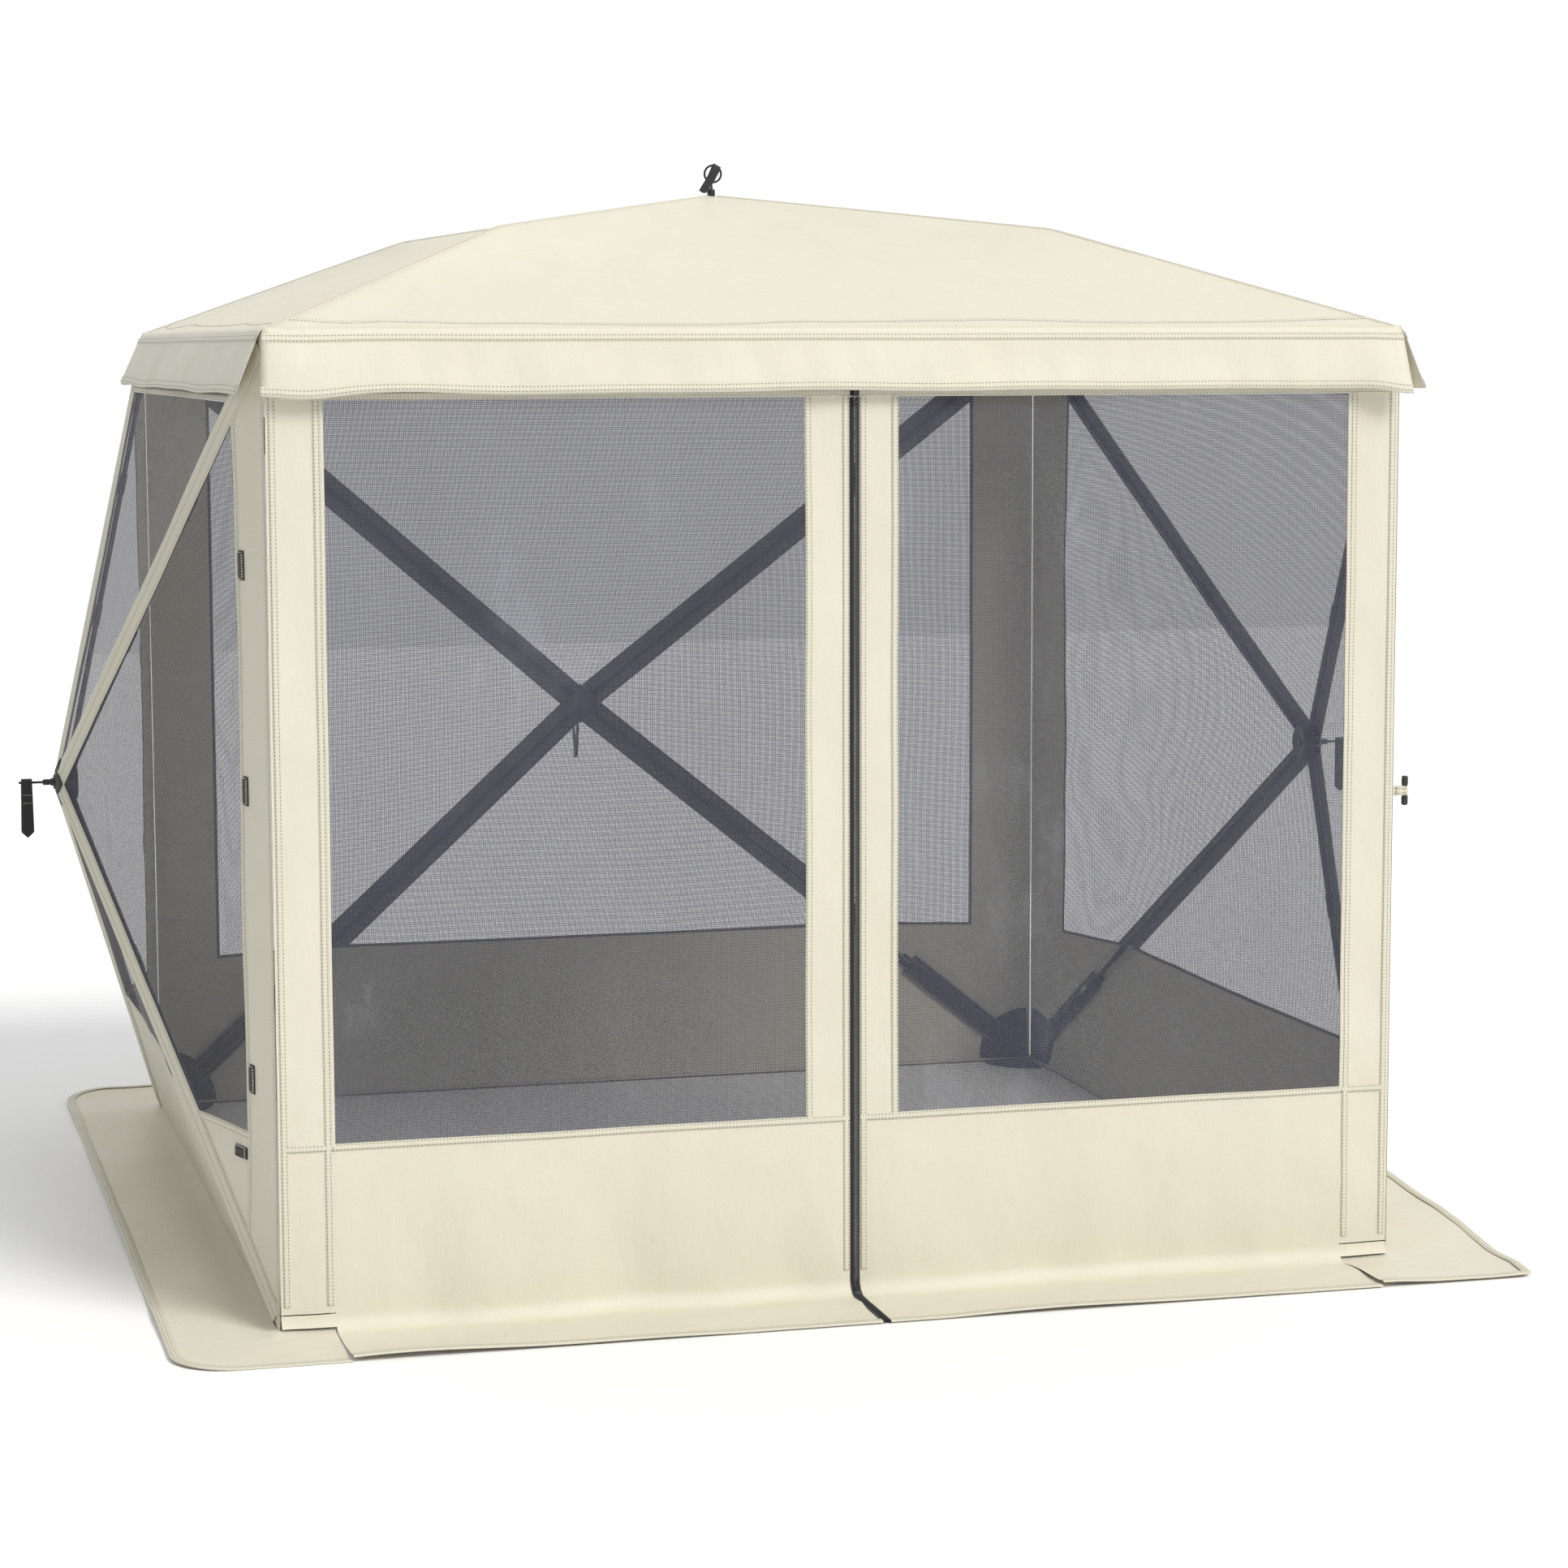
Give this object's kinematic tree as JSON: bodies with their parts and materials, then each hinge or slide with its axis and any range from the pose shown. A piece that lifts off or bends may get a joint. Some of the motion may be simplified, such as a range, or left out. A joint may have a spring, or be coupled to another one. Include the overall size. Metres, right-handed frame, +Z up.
{
  "type": "pop-up screen house",
  "caption": "Square pop-up screen house: mesh walls and a low roof held out by hub-and-pole frames, a flat front with a centre zip, an eave valance and a ground skirt.",
  "frame": {"origin": "on the ground, at the bottom centre of the whole object's box, with the floor skirt spread", "axes": "+Z up, -Y towards the flat front wall with the zip, +X to the right seen from the front"},
  "size_m": [2.8168, 2.6614, 2.0883],
  "materials": {
    "cloth": "satin polyester weave",
    "mesh": "fine knitted netting",
    "black_cloth": "matt black oxford cloth",
    "hook": "hook and loop",
    "webbing": "ribbed black webbing",
    "pole": "fibreglass rod",
    "plastic": "moulded nylon",
    "zip": "nylon coil on tape",
    "metal": "black enamelled die-cast",
    "steel": "steel pin"
  },
  "bodies": {
    "shelter": {"roof_canopy": "cloth", "valance": "cloth", "front_wall_border": "cloth", "wall_borders": "cloth", "left_wall_mesh": "mesh", "back_wall_mesh": "mesh", "right_wall_mesh": "mesh", "pole_bands": "cloth", "lower_panels": "cloth", "skirts": "cloth", "corner_patches": "black_cloth", "hook_patches": "hook", "toggle_loop": "cloth", "zip_top_tape": "zip"},
    "toggle": {"toggle": "plastic"},
    "door_left": {"door_left_mesh": "mesh", "door_left_panel": "cloth", "door_left_zip_tape": "zip"},
    "door_right": {"door_right_mesh": "mesh", "door_right_panel": "cloth", "door_right_zip_tape": "zip"},
    "zip_slider": {"zip_slider": "metal"},
    "zip_pull": {"zip_pull": "metal"},
    "left_hub": {"left_hub_body": "plastic", "left_hub_pins": "steel", "left_hub_patch": "black_cloth", "left_pull_cord": "webbing"},
    "left_strap": {"left_pull_strap": "webbing"},
    "left_pole_upper_front": {"left_pole_upper_front": "pole"},
    "left_pole_upper_back": {"left_pole_upper_back": "pole"},
    "left_pole_lower_back": {"left_pole_lower_back": "pole"},
    "left_pole_lower_front": {"left_pole_lower_front": "pole"},
    "back_hub": {"back_hub_body": "plastic", "back_hub_pins": "steel", "back_hub_patch": "black_cloth", "back_pull_cord": "webbing"},
    "back_strap": {"back_pull_strap": "webbing"},
    "back_pole_upper_left": {"back_pole_upper_left": "pole"},
    "back_pole_upper_right": {"back_pole_upper_right": "pole"},
    "back_pole_lower_right": {"back_pole_lower_right": "pole"},
    "back_pole_lower_left": {"back_pole_lower_left": "pole"},
    "right_hub": {"right_hub_body": "plastic", "right_hub_pins": "steel", "right_hub_patch": "black_cloth", "right_pull_cord": "webbing"},
    "right_strap": {"right_pull_strap": "webbing"},
    "right_pole_upper_back": {"right_pole_upper_back": "pole"},
    "right_pole_upper_front": {"right_pole_upper_front": "pole"},
    "right_pole_lower_front": {"right_pole_lower_front": "pole"},
    "right_pole_lower_back": {"right_pole_lower_back": "pole"},
    "roof_hub": {"roof_hub_body": "plastic", "roof_hub_pins": "steel", "roof_pull_cord": "webbing"},
    "roof_strap": {"roof_pull_strap": "webbing"},
    "roof_pole_back_right": {"roof_pole_back_right": "pole"},
    "roof_pole_back_left": {"roof_pole_back_left": "pole"},
    "roof_pole_front_left": {"roof_pole_front_left": "pole"},
    "roof_pole_front_right": {"roof_pole_front_right": "pole"}
  },
  "joints": [
    {"name": "toggle_turn", "type": "hinge", "parent": "shelter", "child": "toggle", "pos_m": [1.08, -1.0977, 0.888], "axis": [0, 0, 1], "range_deg": [-180, 180]},
    {"name": "door_left_swing", "type": "hinge", "parent": "shelter", "child": "door_left", "pos_m": [-0.947, -1.1219, 0.82], "axis": [0, 0, 1], "range_deg": [-80, 0]},
    {"name": "door_right_swing", "type": "hinge", "parent": "shelter", "child": "door_right", "pos_m": [0.947, -1.1219, 0.82], "axis": [0, 0, 1], "range_deg": [0, 80]},
    {"name": "zip_run", "type": "slide", "parent": "shelter", "child": "zip_slider", "axis": [0, 0, 1], "range_m": [-1.6, 0]},
    {"name": "zip_pull_lift", "type": "hinge", "parent": "zip_slider", "child": "zip_pull", "pos_m": [0, -1.1309, 1.6455], "axis": [-1, 0, 0], "range_deg": [0, 40]},
    {"name": "left_hub_push", "type": "slide", "parent": "shelter", "child": "left_hub", "axis": [-1, 0, 0], "range_m": [-0.526, 0], "deforming": ["left_wall_mesh", "pole_bands", "lower_panels", "wall_borders", "corner_patches"]},
    {"name": "left_strap_swing", "type": "hinge", "parent": "left_hub", "child": "left_strap", "pos_m": [-1.392, -0.0777, 0.87], "axis": [-1, 0, 0], "range_deg": [-75, 75]},
    {"name": "left_pole_upper_front_tilt", "type": "hinge", "parent": "left_hub", "child": "left_pole_upper_front", "pos_m": [-1.31, -0.09759, 0.88675], "axis": [0, 0.6441, 0.7649], "range_deg": [-24.19, 0.5]},
    {"name": "left_pole_upper_back_tilt", "type": "hinge", "parent": "left_hub", "child": "left_pole_upper_back", "pos_m": [-1.31, -0.05781, 0.88675], "axis": [0, 0.6441, -0.7649], "range_deg": [-24.19, 0.5]},
    {"name": "left_pole_lower_back_tilt", "type": "hinge", "parent": "left_hub", "child": "left_pole_lower_back", "pos_m": [-1.31, -0.05772, 0.85337], "axis": [0, -0.6398, -0.7685], "range_deg": [-24.19, 0.5]},
    {"name": "left_pole_lower_front_tilt", "type": "hinge", "parent": "left_hub", "child": "left_pole_lower_front", "pos_m": [-1.31, -0.09768, 0.85337], "axis": [0, -0.6398, 0.7685], "range_deg": [-24.19, 0.5]},
    {"name": "back_hub_push", "type": "slide", "parent": "shelter", "child": "back_hub", "axis": [0, 1, 0], "range_m": [-0.526, 0], "deforming": ["back_wall_mesh"]},
    {"name": "back_strap_swing", "type": "hinge", "parent": "back_hub", "child": "back_strap", "pos_m": [0, 1.3143, 0.87], "axis": [0, 1, 0], "range_deg": [-75, 75]},
    {"name": "back_pole_upper_left_tilt", "type": "hinge", "parent": "back_hub", "child": "back_pole_upper_left", "pos_m": [-0.01989, 1.2323, 0.88675], "axis": [0.6441, 0, 0.7649], "range_deg": [-24.19, 0.5]},
    {"name": "back_pole_upper_right_tilt", "type": "hinge", "parent": "back_hub", "child": "back_pole_upper_right", "pos_m": [0.01989, 1.2323, 0.88675], "axis": [0.6441, 0, -0.7649], "range_deg": [-24.19, 0.5]},
    {"name": "back_pole_lower_right_tilt", "type": "hinge", "parent": "back_hub", "child": "back_pole_lower_right", "pos_m": [0.01998, 1.2323, 0.85337], "axis": [-0.6398, 0, -0.7685], "range_deg": [-24.19, 0.5]},
    {"name": "back_pole_lower_left_tilt", "type": "hinge", "parent": "back_hub", "child": "back_pole_lower_left", "pos_m": [-0.01998, 1.2323, 0.85337], "axis": [-0.6398, 0, 0.7685], "range_deg": [-24.19, 0.5]},
    {"name": "right_hub_push", "type": "slide", "parent": "shelter", "child": "right_hub", "axis": [1, 0, 0], "range_m": [-0.526, 0], "deforming": ["right_wall_mesh"]},
    {"name": "right_strap_swing", "type": "hinge", "parent": "right_hub", "child": "right_strap", "pos_m": [1.392, -0.0777, 0.87], "axis": [1, 0, 0], "range_deg": [-75, 75]},
    {"name": "right_pole_upper_back_tilt", "type": "hinge", "parent": "right_hub", "child": "right_pole_upper_back", "pos_m": [1.31, -0.05781, 0.88675], "axis": [0, -0.6441, 0.7649], "range_deg": [-24.19, 0.5]},
    {"name": "right_pole_upper_front_tilt", "type": "hinge", "parent": "right_hub", "child": "right_pole_upper_front", "pos_m": [1.31, -0.09759, 0.88675], "axis": [0, -0.6441, -0.7649], "range_deg": [-24.19, 0.5]},
    {"name": "right_pole_lower_front_tilt", "type": "hinge", "parent": "right_hub", "child": "right_pole_lower_front", "pos_m": [1.31, -0.09768, 0.85337], "axis": [0, 0.6398, -0.7685], "range_deg": [-24.19, 0.5]},
    {"name": "right_pole_lower_back_tilt", "type": "hinge", "parent": "right_hub", "child": "right_pole_lower_back", "pos_m": [1.31, -0.05772, 0.85337], "axis": [0, 0.6398, 0.7685], "range_deg": [-24.19, 0.5]},
    {"name": "roof_hub_push", "type": "slide", "parent": "shelter", "child": "roof_hub", "axis": [0, 0, 1], "range_m": [-0.498, 0], "deforming": ["roof_canopy"]},
    {"name": "roof_strap_swing", "type": "hinge", "parent": "roof_hub", "child": "roof_strap", "pos_m": [0.01073, -0.0777, 2.0786], "axis": [-0.8829, 0, 0.4695], "range_deg": [0, 60]},
    {"name": "roof_pole_back_right_tilt", "type": "hinge", "parent": "roof_hub", "child": "roof_pole_back_right", "pos_m": [0.01838, -0.05931, 2.002], "axis": [-0.7071, 0.7071, 0], "range_deg": [-20.78, 0.5]},
    {"name": "roof_pole_back_left_tilt", "type": "hinge", "parent": "roof_hub", "child": "roof_pole_back_left", "pos_m": [-0.01838, -0.05931, 2.002], "axis": [-0.7071, -0.7071, 0], "range_deg": [-20.78, 0.5]},
    {"name": "roof_pole_front_left_tilt", "type": "hinge", "parent": "roof_hub", "child": "roof_pole_front_left", "pos_m": [-0.01838, -0.09609, 2.002], "axis": [0.7071, -0.7071, 0], "range_deg": [-20.78, 0.5]},
    {"name": "roof_pole_front_right_tilt", "type": "hinge", "parent": "roof_hub", "child": "roof_pole_front_right", "pos_m": [0.01838, -0.09609, 2.002], "axis": [0.7071, 0.7071, 0], "range_deg": [-20.78, 0.5]}
  ],
  "couplings": [
    {"joint": "left_pole_upper_front_tilt", "follows": "left_hub_push", "rad_per_m": 0.7861},
    {"joint": "left_pole_upper_back_tilt", "follows": "left_hub_push", "rad_per_m": 0.7861},
    {"joint": "left_pole_lower_back_tilt", "follows": "left_hub_push", "rad_per_m": 0.7861},
    {"joint": "left_pole_lower_front_tilt", "follows": "left_hub_push", "rad_per_m": 0.7861},
    {"joint": "back_pole_upper_left_tilt", "follows": "back_hub_push", "rad_per_m": 0.7861},
    {"joint": "back_pole_upper_right_tilt", "follows": "back_hub_push", "rad_per_m": 0.7861},
    {"joint": "back_pole_lower_right_tilt", "follows": "back_hub_push", "rad_per_m": 0.7861},
    {"joint": "back_pole_lower_left_tilt", "follows": "back_hub_push", "rad_per_m": 0.7861},
    {"joint": "right_pole_upper_back_tilt", "follows": "right_hub_push", "rad_per_m": 0.7861},
    {"joint": "right_pole_upper_front_tilt", "follows": "right_hub_push", "rad_per_m": 0.7861},
    {"joint": "right_pole_lower_front_tilt", "follows": "right_hub_push", "rad_per_m": 0.7861},
    {"joint": "right_pole_lower_back_tilt", "follows": "right_hub_push", "rad_per_m": 0.7861},
    {"joint": "roof_pole_back_right_tilt", "follows": "roof_hub_push", "rad_per_m": 0.7109},
    {"joint": "roof_pole_back_left_tilt", "follows": "roof_hub_push", "rad_per_m": 0.7109},
    {"joint": "roof_pole_front_left_tilt", "follows": "roof_hub_push", "rad_per_m": 0.7109},
    {"joint": "roof_pole_front_right_tilt", "follows": "roof_hub_push", "rad_per_m": 0.7109}
  ]
}
